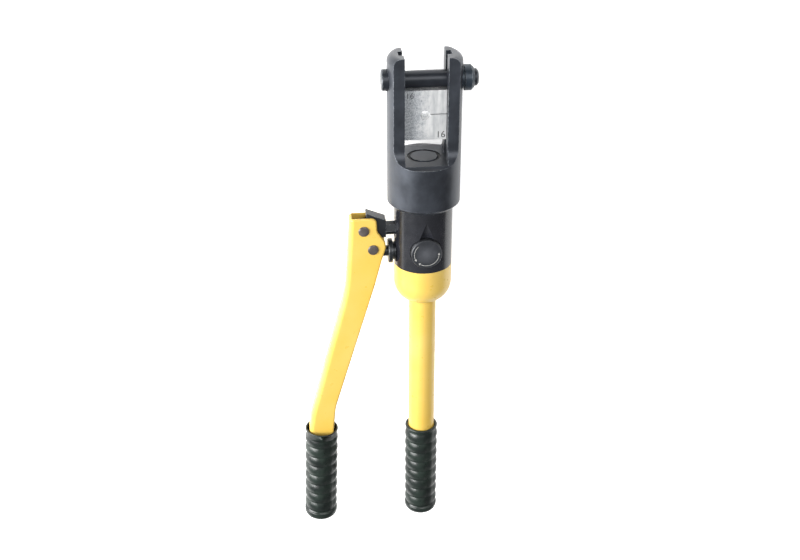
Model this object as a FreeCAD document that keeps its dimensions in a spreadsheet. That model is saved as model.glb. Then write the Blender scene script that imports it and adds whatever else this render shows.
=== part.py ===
"""Hand hydraulic crimping tool with a fork head, as a parametric document.

The frame: +Y runs along the tool's axis towards the head, +X is to the right,
+Z is the front with the release knob. The origin is the centre of the ram's
face, where it lies flush in the fork's floor.
"""
import FreeCAD, Part

import math
import os
import re

import Sketcher

VECTOR = FreeCAD.Vector

# Driving dimensions in millimetres. "Fit" and "Gap" are clearances, "Bevel" a broken edge.
DIMENSIONS = {
    # how far a cutter runs past a face, and the gap that keeps two faces from rubbing
    "overrun": 1.0, "seatGap": 0.05,
    # fork head
    "headRadius": 35.0, "headSkirt": 47.0, "headChamfer": 3.3, "prongTip": 24.4,
    "prongRound": 7.0, "forkThickness": 35.0, "forkSlot": 40.0, "runoutRadius": 16.0,
    "runoutHeight": 14.5, "floorThickness": 14.0, "grooveWidth": 12.0, "grooveDepth": 4.5,
    # lock pin across the fork, and its collar
    "pinRadius": 8.0, "pinFit": 0.06, "pinHeadLip": 2.0, "pinHeadLength": 7.5,
    "pinHeadBevel": 0.9, "pinBevel": 1.6, "seatDepth": 2.4, "seatLip": 2.6,
    "pinTail": 16.6, "collarWall": 4.0, "neckWall": 2.0, "collarNeck": 3.6,
    "collarLength": 12.5, "collarBevel": 2.6, "pinRingWire": 0.95,
    # crimping dies
    "ramStroke": 19.6, "dieHeight": 24.0, "dieThickness": 18.0, "dieGap": 0.3,
    "dieFit": 0.25, "hexFlats": 8.5, "seamStep": 1.2, "seamRelief": 0.8, "tongueGap": 0.5,
    # cylinder body
    "bodyRadius": 28.3, "bodyLength": 64.3, "bodyGap": 0.5, "threadFit": 0.05,
    "boreRadius": 23.0, "springLength": 36.0, "oilGap": 2.0, "spigotLength": 12.0,
    "nozzleRadius": 9.0, "nozzleLength": 10.0, "spotFace": 0.9, "spotGap": 0.3,
    # ram and its guide
    "ramRadius": 13.5, "ramBevel": 1.0, "ramFit": 0.06, "ringRadius": 16.0,
    "ringDepth": 9.0, "ringRecess": 0.8, "rodClearance": 0.4, "pistonLength": 14.0,
    "pistonFit": 0.08, "sealDepth": 3.5, "sealLow": 3.8, "sealHigh": 4.8,
    "backupWidth": 1.5, "sealSqueeze": 0.03, "springWire": 1.6, "springRadius": 18.5,
    "springTurns": 4.5,
    # release valve on the front
    "knobOffset": 42.8, "knobRadius": 14.9, "knobRise": 1.9, "knobBevel": 0.7,
    "knobHeel": 1.5, "knobGap": 0.3, "recessFloor": 22.5, "recessRadius": 15.4,
    "thumbReach": 32.1, "thumbTilt": 14.7, "thumbCone": 27.0, "releaseRadius": 6.0,
    "releaseFit": 0.06, "releaseSeat": 10.0, "releaseBall": 2.4, "releaseTip": 2.2,
    "tipGap": 0.1, "tipTaper": 1.5, "oilLine": 1.5, "releaseRing": 0.75,
    "releaseGroove": 5.0,
    # pump and its gland
    "pumpOffset": 51.5, "plungerRadius": 5.3, "plungerFit": 0.06, "plungerReach": 7.5,
    "plungerBevel": 1.0, "chamberEnd": 9.5, "glandRadius": 12.0, "glandFlange": 4.0,
    "glandHub": 8.9, "glandStand": 3.2, "glandThread": 7.0, "glandDepth": 13.0,
    "glandSealWidth": 3.6, "glandBevel": 0.6, "eyeGap": 0.7, "eyeLength": 18.0,
    "eyeFit": 0.35, "eyeDrift": 2.3, "eyeFoot": 0.6, "eyeWall": 3.6,
    # suction and delivery check valves, and the relief valve beside them
    "checkOffset": 2.0, "checkBore": 4.0, "checkBall": 2.5, "checkWire": 0.5,
    "checkTurns": 4.0, "checkScrew": 4.8, "checkLow": 5.0, "checkHigh": 8.0,
    "valveGap": 0.2, "ballSink": 0.4, "suctionSpring": 3.7, "suctionTurns": 2.0,
    "reliefOffset": 16.5, "reliefBore": 4.5, "reliefHigh": 6.0, "reliefBall": 2.2,
    "reliefSink": 0.5, "reliefWire": 0.8, "reliefCoil": 3.0, "reliefTurns": 7.0,
    "reliefSpring": 20.0, "reliefScrew": 5.8, "reliefDrill": 1.2,
    # fulcrum stud and bracket; the bracket's places are measured from the fulcrum pin
    "studOffset": 26.6, "studAcross": 13.2, "studTurn": 18.7, "studThread": 5.0,
    "studDepth": 12.0, "studTang": 5.0, "bracketFace": 36.9, "tabLow": 8.2, "tabHigh": 9.9,
    "hornX": 2.1, "hornY": 17.8, "throatX": 3.6, "throatY": 9.0, "cheekX": 6.0,
    "cheekHigh": 3.6, "cheekLow": 4.0, "bossRadius": 7.4, "tabRound": 1.2,
    # moving handle's two pins
    "pivotX": 58.6, "pivotY": 72.55, "linkX": 49.7, "linkY": 92.75, "rivetRadius": 4.0,
    "rivetFit": 0.06, "rivetHead": 5.2, "rivetDome": 1.9, "rivetRim": 0.5,
    "rivetSlope": 1.4, "rivetCrown": 0.25, "tailLength": 1.2, "clipRadius": 5.6,
    "clipThickness": 1.2,
    # pressed channel: its section, then the outline of its web and of its open side
    "channelDepth": 17.9, "sheetWall": 2.3, "channelRound": 5.0, "edgeRound": 1.7,
    "channelTop": 12.8, "webTop": 13.4, "webKneeX": 77.4, "webKneeY": 138.0,
    "webWristX": 2.6, "webWristY": 20.2, "lipX": 12.4, "lipLowX": 13.2, "lipLowY": 1.5,
    "lugX": 12.7, "lugShoulder": 1.0, "lugHigh": 8.0, "lugLow": 11.5, "lugBack": 4.2,
    "openKneeX": 48.2, "openKneeY": 132.0, "openBendX": 90.6, "openBendY": 275.0,
    "openWristX": 92.3, "openWristY": 292.0, "wristBend": 60.0, "webBend": 150.0,
    "cornerRound": 5.0, "cheekRound": 7.0,
    # tube, grips and oil bag
    "shoulderSide": 19.7, "shoulderArc": 22.0, "tubeRadius": 13.45, "tubeWall": 2.25,
    "tubeEnd": 411.0, "tubeStop": 14.0, "collarDrop": 9.0, "collarStep": 4.0,
    "spigotGap": 0.5, "plugLength": 12.0, "gripMouth": 306.5, "gripEnd": 417.4,
    "gripRadius": 16.9, "gripNose": 6.0, "gripLip": 1.2, "movingMouth": 303.7,
    "movingEnd": 417.3, "movingGripX": 94.6, "movingGripRadius": 17.1, "gripTilt": 2.1,
    "tangRight": 93.6, "tangLeft": 118.6, "tangRise": 2.0, "gripFloor": 5.0,
    "bagRadius": 10.3, "bagStop": 2.0, "bagEnd": 290.0, "clipWidth": 5.0,
    "clipWall": 0.8, "clipDrop": 3.0, "suctionRadius": 2.4, "suctionWall": 0.8,
    "suctionEntry": 0.9, "filterRadius": 5.2, "filterLength": 12.0, "filterLift": 6.0,
}
# Geometry closer than this counts as touching.
NEAR = 0.01

document = FreeCAD.newDocument("CrimpingTool")
sheet = document.addObject("Spreadsheet::Sheet", "Dims")
for row, (alias, number) in enumerate(DIMENSIONS.items(), start=1):
    sheet.set("A%d" % row, alias)
    sheet.set("B%d" % row, str(number))
    sheet.setAlias("B%d" % row, alias)
document.recompute()

# Places along the axis that several pieces share, as expressions of the sheet.
HEAD_TOP = "(pinHeight + prongTip)"
BODY_TOP = "(0 - floorThickness - bodyGap)"
BODY_BOTTOM = "(0 - headSkirt - bodyLength)"
PISTON_TOP = "(0 - floorThickness - springLength)"
PISTON_BOTTOM = "(0 - floorThickness - springLength - pistonLength)"
BORE_FLOOR = "(0 - floorThickness - springLength - pistonLength - oilGap)"
KNOB_Y = "(0 - headSkirt - knobOffset)"
PUMP_Y = "(0 - headSkirt - pumpOffset)"
STUD_Y = "(0 - headSkirt - studOffset)"
SPOT = "(bodyRadius - spotFace)"
SPIGOT_END = "(0 - headSkirt - bodyLength - spigotLength)"
NOZZLE_END = "(0 - headSkirt - bodyLength - spigotLength - nozzleLength)"
SHOULDER_TURN = "(0 - headSkirt - bodyLength - shoulderSide)"
SHOULDER_END = ("(0 - headSkirt - bodyLength - shoulderSide"
                " - sqrt(shoulderArc ^ 2 - (tubeRadius - bodyRadius + shoulderArc) ^ 2))")
PIN_Y = "(ramStroke + 2 * dieHeight + dieGap + pinRadius)"
SUCTION_SEAT = "(%s - plungerRadius - checkLow)" % PUMP_Y
DELIVERY_SEAT = "(%s + plungerRadius + checkHigh)" % PUMP_Y
RELIEF_SEAT = "(%s + plungerRadius + reliefHigh)" % PUMP_Y
# Sizes that follow others: the lock pin's seats and collar follow the head and the pin,
# and what works inside the pressed channel follows its inner width.
SHORT_NAMES = {
    "pinHeight": PIN_Y,
    "pinSeat": "(headRadius - seatDepth)",
    "pinReach": "(headRadius - seatDepth + pinTail)",
    "pinHeadRadius": "(pinRadius + pinHeadLip)",
    "seatRadius": "(pinRadius + seatLip)",
    "collarRadius": "(pinRadius + collarWall)",
    "neckRadius": "(pinRadius + neckWall)",
    "eyeThickness": "(channelDepth - 2 * sheetWall - eyeGap)",
    "gripLean": "((movingEnd - gripFloor - movingMouth) * tan(gripTilt))",
}


def bound(text):
    """Turn an expression of plain alias words into one that reads the sheet."""
    for name, meaning in SHORT_NAMES.items():
        text = re.sub(r"\b%s\b" % name, meaning, text)
    return re.sub(r"\b[a-z][A-Za-z]+\b",
                  lambda word: "Dims." + word.group() if word.group() in DIMENSIONS else word.group(),
                  text)


def size(text):
    """The present value of an expression, in millimetres."""
    return float(sheet.evalExpression(bound(text)))


def body_named(label):
    body = document.addObject("PartDesign::Body", label.title().replace("_", ""))
    body.Label = label
    return body


def sketch_on(body, plane_role, offset=("0", "0", "0"), turn="0"):
    """A sketch on one of the body's own origin planes, moved in that plane's axes."""
    sketch = body.newObject("Sketcher::SketchObject", body.Name + "Sketch")
    plane = [f for f in body.Origin.OriginFeatures if f.Role == plane_role][0]
    sketch.AttachmentSupport = [(plane, "")]
    sketch.MapMode = "FlatFace"
    for letter, text in zip("xyz", offset):
        if text != "0":
            sketch.setExpression("AttachmentOffset.Base." + letter, bound(text))
    if turn != "0":
        sketch.setExpression("AttachmentOffset.Rotation.Angle", bound(turn))
    return sketch


def pin_point(sketch, curve, end, x_text, y_text):
    """Hold a sketch point at two bound distances from the sketch's origin."""
    for kind, text in (("DistanceX", x_text), ("DistanceY", y_text)):
        index = sketch.addConstraint(
            Sketcher.Constraint(kind, -1, 1, curve, end, size(text)))
        sketch.setExpression("Constraints[%d]" % index, bound(text))


def draw_outline(sketch, points):
    """Closed outline. A point is (x, y), or (x, y, radius, side) for an arc to the next."""
    places = [VECTOR(size(p[0]), size(p[1]), 0) for p in points]
    ends = []
    for index, point in enumerate(points):
        start, finish = places[index], places[(index + 1) % len(points)]
        if len(point) == 2:
            curve = sketch.addGeometry(Part.LineSegment(start, finish), False)
            ends.append((curve, 1, 2))
            continue
        radius = size(point[2])
        chord = finish - start
        rise = radius - math.sqrt(max(radius ** 2 - (chord.Length / 2) ** 2, 0.0))
        across = VECTOR(-chord.y, chord.x, 0).normalize() * rise * point[3]
        arc = Part.Arc(start, (start + finish) / 2 + across, finish)
        curve = sketch.addGeometry(arc, False)
        first = sketch.getPoint(curve, 1)
        forward = (first - start).Length < (first - finish).Length
        ends.append((curve, 1, 2) if forward else (curve, 2, 1))
        number = sketch.addConstraint(Sketcher.Constraint("Radius", curve, radius))
        sketch.setExpression("Constraints[%d]" % number, bound(point[2]))
    for index, point in enumerate(points):
        curve, start_end, finish_end = ends[index]
        following = ends[(index + 1) % len(points)]
        sketch.addConstraint(Sketcher.Constraint(
            "Coincident", curve, finish_end, following[0], following[1]))
        pin_point(sketch, curve, start_end, point[0], point[1])


def draw_circle(sketch, x_text, y_text, radius_text):
    centre = VECTOR(size(x_text), size(y_text), 0)
    curve = sketch.addGeometry(Part.Circle(centre, VECTOR(0, 0, 1), size(radius_text)), False)
    pin_point(sketch, curve, 3, x_text, y_text)
    index = sketch.addConstraint(Sketcher.Constraint("Radius", curve, size(radius_text)))
    sketch.setExpression("Constraints[%d]" % index, bound(radius_text))


def rectangle(x_low, x_high, y_low, y_high):
    return [(x_low, y_low), (x_high, y_low), (x_high, y_high), (x_low, y_high)]


def settle(body, before, larger):
    """Recompute, and check that a feature really added or removed material."""
    document.recompute()
    after = body.Shape.Volume
    changed = after - before if larger else before - after
    if changed < NEAR:
        raise ValueError("a feature of %s changes nothing" % body.Label)


def turned(body, axis, points, at=("0", "0"), cut=False, turn="0"):
    """Revolve a profile of (radius, along) points round an axis along X, Y or Z.

    "at" places the axis: its (Y, Z) for axis X, (X, Z) for axis Y, (X, Y) for axis Z.
    """
    before = body.Shape.Volume if body.Tip else 0.0
    if axis == "X":
        sketch = sketch_on(body, "XY_Plane", ("0", at[0], at[1]))
    elif axis == "Y":
        sketch = sketch_on(body, "XY_Plane", (at[0], "0", at[1]), turn)
    else:
        sketch = sketch_on(body, "YZ_Plane", (at[1], "0", at[0]), turn)
    if axis == "X":
        points = [(p[1], p[0]) + tuple(p[2:]) for p in points]
    draw_outline(sketch, points)
    kind = "PartDesign::Groove" if cut else "PartDesign::Revolution"
    feature = body.newObject(kind, body.Name + ("Groove" if cut else "Turned"))
    feature.Profile = sketch
    feature.ReferenceAxis = (sketch, ["H_Axis" if axis == "X" else "V_Axis"])
    feature.Angle = 360.0
    body.Tip = feature
    settle(body, before, not cut)
    return feature


def padded(body, plane, outline, thickness, offset="0"):
    """Pad an outline by a thickness, half to each side of its plane."""
    before = body.Shape.Volume if body.Tip else 0.0
    sketch = sketch_on(body, plane, ("0", "0", offset))
    draw_outline(sketch, outline)
    pad = body.newObject("PartDesign::Pad", body.Name + "Pad")
    pad.Profile = sketch
    pad.Midplane = True
    pad.setExpression("Length", bound(thickness))
    body.Tip = pad
    settle(body, before, True)
    return pad


def pocketed(body, plane, drawings, width=None, offset="0"):
    """Cut outlines or (x, y, radius) circles through the body, or to a width."""
    before = body.Shape.Volume
    sketch = sketch_on(body, plane, ("0", "0", offset))
    for drawing in drawings:
        if isinstance(drawing, tuple):
            draw_circle(sketch, *drawing)
        else:
            draw_outline(sketch, drawing)
    pocket = body.newObject("PartDesign::Pocket", body.Name + "Pocket")
    pocket.Profile = sketch
    pocket.Midplane = True
    if width is None:
        pocket.Type = "ThroughAll"
    else:
        pocket.Type = "Length"
        pocket.setExpression("Length", bound(width))
    body.Tip = pocket
    settle(body, before, False)
    return pocket


def eased(body, kind, amount, wanted):
    """Fillet or chamfer the edges that the test "wanted" picks out."""
    before = body.Shape.Volume
    names = ["Edge%d" % (i + 1) for i, edge in enumerate(body.Shape.Edges) if wanted(edge)]
    if not names:
        raise ValueError("no edge to ease on %s" % body.Label)
    base = body.Tip
    feature = body.newObject("PartDesign::" + kind, body.Name + kind)
    feature.Base = (base, names)
    feature.setExpression("Radius" if kind == "Fillet" else "Size", bound(amount))
    body.Tip = feature
    document.recompute()
    if abs(body.Shape.Volume - before) < NEAR:
        raise ValueError("an eased edge of %s changes nothing" % body.Label)
    return feature


def ring_edge(axis, along, radius):
    """A test for the circular edge at a place along an axis."""
    def wanted(edge):
        curve = edge.Curve
        if not isinstance(curve, Part.Circle):
            return False
        place = {"X": curve.Center.x, "Y": curve.Center.y, "Z": curve.Center.z}[axis]
        return abs(place - size(along)) < NEAR and abs(curve.Radius - size(radius)) < NEAR
    return wanted


def upright_edge(x_text, y_text):
    """A test for the edge along Z that stands at a corner of an outline."""
    def wanted(edge):
        first, last = edge.Vertexes[0].Point, edge.Vertexes[-1].Point
        spot = VECTOR(size(x_text), size(y_text), first.z)
        level = VECTOR(last.x, last.y, first.z)
        stands = abs(last.z - first.z) > NEAR
        return stands and (first - spot).Length < NEAR and (level - spot).Length < NEAR
    return wanted


def tube(label, axis, inner, outer, low, high, at=("0", "0")):
    """A plain turned ring or bush; an inner radius of 0 makes a solid rod."""
    body = body_named(label)
    turned(body, axis, rectangle(inner, outer, low, high), at)
    return body


def sphere(label, radius, x_text, y_text, z_text):
    ball = document.addObject("Part::Sphere", label.title().replace("_", ""))
    ball.Label = label
    ball.setExpression("Radius", bound(radius))
    for letter, text in zip("xyz", (x_text, y_text, z_text)):
        ball.setExpression("Placement.Base." + letter, bound(text))
    return ball


def o_ring(label, ring_radius, wire, place, tilt):
    """A torus; tilt is the axis and angle that lay its own +Z along the shaft."""
    ring = document.addObject("Part::Torus", label.title().replace("_", ""))
    ring.Label = label
    ring.setExpression("Radius1", bound(ring_radius))
    ring.setExpression("Radius2", bound(wire))
    ring.Placement.Rotation = FreeCAD.Rotation(*tilt)
    for letter, text in zip("xyz", place):
        ring.setExpression("Placement.Base." + letter, bound(text))
    return ring


def coil(label, radius, wire, low, high, turns, at=("0", "0")):
    """A compression spring whose axis is along Y."""
    body = body_named(label)
    sketch = sketch_on(body, "XY_Plane", (at[0], "0", at[1]))
    draw_circle(sketch, radius, low + " + " + wire, wire)
    spring = body.newObject("PartDesign::AdditiveHelix", body.Name + "Helix")
    spring.Profile = sketch
    spring.ReferenceAxis = (sketch, ["V_Axis"])
    spring.Mode = 2
    spring.setExpression("Height", bound("%s - (%s) - 2 * %s" % (high, low, wire)))
    spring.setExpression("Turns", bound(turns))
    body.Tip = spring
    document.recompute()
    return body


def make_fork_head():
    body = body_named("fork_head")
    socket = "bodyRadius + threadFit"
    turned(body, "Y", [
        ("0", HEAD_TOP), ("headRadius", HEAD_TOP), ("headRadius", "0 - headSkirt + headChamfer"),
        ("headRadius - headChamfer", "0 - headSkirt"), (socket, "0 - headSkirt"),
        (socket, "0 - floorThickness"), ("ramRadius + rodClearance", "0 - floorThickness"),
        ("ramRadius + rodClearance", "0 - ringDepth"), ("ringRadius", "0 - ringDepth"),
        ("ringRadius", "0"), ("0", "0")])
    eased(body, "Fillet", "prongRound", ring_edge("Y", HEAD_TOP, "headRadius"))
    top = HEAD_TOP + " + overrun"
    half_slot = "forkSlot / 2"
    pocketed(body, "XY_Plane", [rectangle("0 - " + half_slot, half_slot, "0", top)])
    for sign in ("", "0 - "):
        # each flat is milled to half the head's thickness and ends in the cutter's radius
        pocketed(body, "YZ_Plane", [rectangle(
            "runoutHeight", top, sign + "forkThickness / 2", sign + "(headRadius + overrun)")])
        pocketed(body, "YZ_Plane", [
            ("runoutHeight", sign + "(forkThickness / 2 + runoutRadius)", "runoutRadius")])
    for sign in ("", "0 - "):
        pocketed(body, "XY_Plane", [rectangle(
            sign + "(forkSlot / 2 - overrun)", sign + "(forkSlot / 2 + grooveDepth)", "0", top)],
            "grooveWidth")
    turned(body, "X", rectangle("0", "pinRadius + pinFit", "0 - headRadius - overrun",
                                "headRadius + overrun"), (PIN_Y, "0"), cut=True)
    for low, high in (("0 - headRadius - overrun", "0 - pinSeat"),
                      ("pinSeat", "headRadius + overrun")):
        turned(body, "X", rectangle("0", "seatRadius", low, high), (PIN_Y, "0"), cut=True)


def make_die(label, up):
    """Half of a hexagonal die pair; up is True for the half under the pin."""
    middle = "(ramStroke + dieHeight)"
    far = "(ramStroke + 2 * dieHeight)" if up else "ramStroke"
    half = "(forkSlot / 2 - dieFit)"
    corner = "(hexFlats / sqrt(3))"
    step_in = "(seamStep / sqrt(3))"
    if up:
        outline = [
            ("0 - " + half, far), ("0 - " + half, middle + " - seamStep"),
            ("0 - %s + %s" % (corner, step_in), middle + " - seamStep"),
            ("0 - " + corner, middle), ("0 - %s / 2" % corner, middle + " + hexFlats / 2"),
            (corner + " / 2", middle + " + hexFlats / 2"),
            ("%s - %s" % (corner, step_in), middle + " + seamStep"),
            (half, middle + " + seamStep"), (half, far)]
    else:
        relief_in = "((seamStep - seamRelief) / sqrt(3))"
        outline = [
            ("0 - " + half, far), ("0 - " + half, middle + " - seamStep"),
            ("0 - %s + %s" % (corner, step_in), middle + " - seamStep"),
            ("0 - %s / 2" % corner, middle + " - hexFlats / 2"),
            (corner + " / 2", middle + " - hexFlats / 2"), (corner, middle),
            ("%s - %s" % (corner, relief_in), middle + " + seamStep - seamRelief"),
            (half, middle + " + seamStep - seamRelief"), (half, far)]
    body = body_named(label)
    padded(body, "XY_Plane", outline, "dieThickness")
    reach = "(forkSlot / 2 + grooveDepth - tongueGap)"
    for sign, edge in (("0 - ", " - seamStep"), ("", " + seamStep - seamRelief")):
        close = middle + (edge if not up else edge.replace(" - seamRelief", ""))
        low, high = (close, far) if up else (far, close)
        padded(body, "XY_Plane", rectangle(sign + half, sign + reach, low, high),
               "grooveWidth - 2 * dieFit")


def make_lock_pin():
    at = (PIN_Y, "0")
    body = body_named("lock_pin")
    head_face = "(0 - pinSeat - pinHeadLength)"
    turned(body, "X", [
        ("0", head_face), ("pinHeadRadius - pinHeadBevel", head_face),
        ("pinHeadRadius", head_face + " + pinHeadBevel"),
        ("pinHeadRadius", "0 - pinSeat - seatGap"), ("pinRadius", "0 - pinSeat - seatGap"),
        ("pinRadius", "pinReach - pinBevel"), ("pinRadius - pinBevel", "pinReach"),
        ("0", "pinReach")], at)
    body = body_named("pin_collar")
    bore = "pinRadius + pinFit"
    end = "(pinSeat + collarLength)"
    turned(body, "X", [
        (bore, "pinSeat"), ("neckRadius", "pinSeat"),
        ("neckRadius", "pinSeat + collarNeck"), ("collarRadius", "pinSeat + collarNeck"),
        ("collarRadius", end + " - collarBevel"), ("collarRadius - collarBevel", end),
        (bore, end)], at)
    middle = "(pinSeat + collarLength / 2)"
    groove = "pinRadius + 2 * pinRingWire + pinFit"
    turned(body, "X", rectangle("pinRadius", groove, middle + " - pinRingWire",
                                middle + " + pinRingWire"), at, cut=True)
    o_ring("pin_o_ring", "pinRadius + pinRingWire + pinFit", "pinRingWire",
           (middle, PIN_Y, "0"), (VECTOR(0, 1, 0), 90))


def make_cylinder_body():
    body = body_named("cylinder_body")
    spigot = "boreRadius"
    turned(body, "Y", [
        ("0", BORE_FLOOR), ("boreRadius", BORE_FLOOR), ("boreRadius", BODY_TOP),
        ("bodyRadius", BODY_TOP), ("bodyRadius", BODY_BOTTOM), (spigot, BODY_BOTTOM),
        (spigot, SPIGOT_END), ("nozzleRadius", SPIGOT_END), ("nozzleRadius", NOZZLE_END),
        ("0", NOZZLE_END)])
    # flat recess of the release knob, and the slanted thumb relief that runs into it
    turned(body, "Z", rectangle("0", "recessRadius", "recessFloor", "bodyRadius + overrun"),
           ("0", KNOB_Y), cut=True)
    # a cone whose axis rises out of the body on its way down to the knob
    before = body.Shape.Volume
    sketch = sketch_on(body, "YZ_Plane", (KNOB_Y + " + thumbReach", "bodyRadius", "0"),
                       "0 - thumbTilt")
    length = "0 - (thumbReach - 3 / 4 * recessRadius)"
    draw_outline(sketch, [("0", "0"), (length, "0"),
                          (length, "(0 - (%s)) * tan(thumbCone)" % length)])
    relief = body.newObject("PartDesign::Groove", "ThumbRelief")
    relief.Profile = sketch
    relief.ReferenceAxis = (sketch, ["H_Axis"])
    relief.Angle = 360.0
    body.Tip = relief
    settle(body, before, False)
    # spot faces, pump bore and the fulcrum stud's hole on the left
    for height, bore, depth in ((PUMP_Y, "glandThread", "glandDepth + glandSealWidth"),
                                (STUD_Y, "studThread", "studDepth")):
        turned(body, "X", rectangle("0", "glandHub + spotGap", "0 - bodyRadius - overrun",
                                    "0 - " + SPOT), (height, "0"), cut=True)
        turned(body, "X", rectangle("0", bore, "0 - bodyRadius", "0 - %s + %s" % (SPOT, depth)),
               (height, "0"), cut=True)
    turned(body, "X", rectangle("0", "plungerRadius + plungerFit", "0 - bodyRadius",
                                "chamberEnd"), (PUMP_Y, "0"), cut=True)
    # release bore, with its oil line up to the main cylinder
    at = ("0", KNOB_Y)
    turned(body, "Z", rectangle("0", "releaseRadius + releaseFit", "releaseSeat",
                                "recessFloor + overrun / 2"), at, cut=True)
    turned(body, "Y", rectangle("0", "oilLine", KNOB_Y, BORE_FLOOR),
           ("0", "releaseSeat - oilLine + overrun / 2"), cut=True)
    # suction and delivery valve bores below and above the pump chamber
    check, relief_at = ("checkOffset", "0"), ("reliefOffset", "0")
    for at, radius, low, high in (
            (check, "checkBore", NOZZLE_END, SUCTION_SEAT),
            (check, "checkBore", DELIVERY_SEAT, BORE_FLOOR),
            (check, "oilLine", SUCTION_SEAT + " - overrun", DELIVERY_SEAT + " + overrun"),
            # relief valve bore beside them
            (relief_at, "reliefBore", SPIGOT_END, RELIEF_SEAT),
            (relief_at, "oilLine", RELIEF_SEAT + " - overrun", BORE_FLOOR)):
        turned(body, "Y", rectangle("0", radius, low, high), at, cut=True)


def make_ram():
    body = body_named("ram")
    root = "(boreRadius - sealDepth)"
    groove_low, groove_high = PISTON_BOTTOM + " + sealLow", PISTON_TOP + " - sealHigh"
    turned(body, "Y", [
        ("0", "0"), ("ramRadius - ramBevel", "0"), ("ramRadius", "0 - ramBevel"),
        ("ramRadius", PISTON_TOP),
        ("boreRadius - pistonFit", PISTON_TOP), ("boreRadius - pistonFit", groove_high),
        (root, groove_high), (root, groove_low), ("boreRadius - pistonFit", groove_low),
        ("boreRadius - pistonFit", PISTON_BOTTOM), ("0", PISTON_BOTTOM)])
    outer = "boreRadius - sealSqueeze"
    split = groove_high + " - backupWidth"
    tube("piston_backup_ring", "Y", root, outer, split, groove_high)
    tube("piston_seal", "Y", root, outer, groove_low, split)
    tube("ram_guide_ring", "Y", "ramRadius + ramFit", "ringRadius", "0 - ringDepth",
         "0 - ringRecess")
    coil("return_spring", "springRadius", "springWire", PISTON_TOP, "(0 - floorThickness)",
         "springTurns")


def make_release_valve():
    at = ("0", KNOB_Y)
    face = "(bodyRadius + knobRise)"
    floor = "recessFloor + knobGap"
    body = body_named("release_knob")
    turned(body, "Z", [
        ("0", floor), ("knobRadius - knobHeel", floor), ("knobRadius", floor + " + knobHeel"),
        ("knobRadius", face + " - knobBevel"), ("knobRadius - knobBevel", face), ("0", face)], at)
    tip = "(releaseSeat + 2 * releaseBall + tipGap)"
    body = body_named("release_screw")
    groove_low = "(recessFloor - releaseGroove)"
    groove_high = "(recessFloor - releaseGroove + 2 * releaseRing)"
    root = "(releaseRadius - 2 * releaseRing)"
    turned(body, "Z", [
        ("0", tip), ("releaseTip", tip), ("releaseRadius", tip + " + tipTaper"),
        ("releaseRadius", groove_low), (root, groove_low), (root, groove_high),
        ("releaseRadius", groove_high), ("releaseRadius", floor), ("0", floor)], at)
    o_ring("release_o_ring", "releaseRadius - releaseRing", "releaseRing",
           ("0", KNOB_Y, groove_low + " + releaseRing"), (VECTOR(0, 0, 1), 0))
    sphere("release_ball", "releaseBall", "0", KNOB_Y, "releaseSeat + releaseBall")


def make_pump():
    at = (PUMP_Y, "0")
    body = body_named("pump_plunger")
    eye_right = "(0 - linkX + eyeLength / 2)"
    turned(body, "X", [
        ("0", eye_right + " - overrun"), ("plungerRadius", eye_right + " - overrun"),
        ("plungerRadius", "plungerReach - plungerBevel"),
        ("plungerRadius - plungerBevel", "plungerReach"),
        ("0", "plungerReach")], at)
    low, high = PUMP_Y + " - plungerRadius - eyeFoot", "0 - linkY + rivetRadius + eyeWall"
    left = "0 - linkX - eyeLength / 2"
    padded(body, "XY_Plane", rectangle(left, eye_right, low, high), "eyeThickness")
    slot = "(rivetRadius + eyeFit)"
    pocketed(body, "XY_Plane", [rectangle(
        "0 - linkX - " + slot, "0 - linkX + " + slot,
        "0 - linkY - rivetRadius - eyeDrift", "0 - linkY + " + slot)])
    body = body_named("gland_nut")
    flange = "(%s + glandStand + glandFlange)" % SPOT
    bore = "plungerRadius + plungerFit"
    turned(body, "X", [
        (bore, "0 - " + flange), ("glandRadius - glandBevel", "0 - " + flange),
        ("glandRadius", "0 - %s + glandBevel" % flange), ("glandRadius", "0 - %s - glandStand" % SPOT),
        ("glandHub", "0 - %s - glandStand" % SPOT), ("glandHub", "0 - " + SPOT),
        ("glandThread", "0 - " + SPOT), ("glandThread", "0 - %s + glandDepth" % SPOT),
        (bore, "0 - %s + glandDepth" % SPOT)], at)
    tube("plunger_seal", "X", bore, "glandThread", "0 - %s + glandDepth" % SPOT,
         "0 - %s + glandDepth + glandSealWidth" % SPOT, at)


def make_check_valve(prefix, ball_y, screw, spring, turns):
    """A ball on its seat, a light spring and a drilled screw, all on the check bore."""
    at = ("checkOffset", "0")
    sphere(prefix + "_ball", "checkBall", "checkOffset", ball_y, "0")
    coil(prefix + "_spring", "(checkBall - checkWire)", "checkWire", spring[0], spring[1],
         turns, at)
    tube(prefix + "_screw", "Y", "oilLine", "checkBore", screw[0], screw[1], at)


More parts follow.
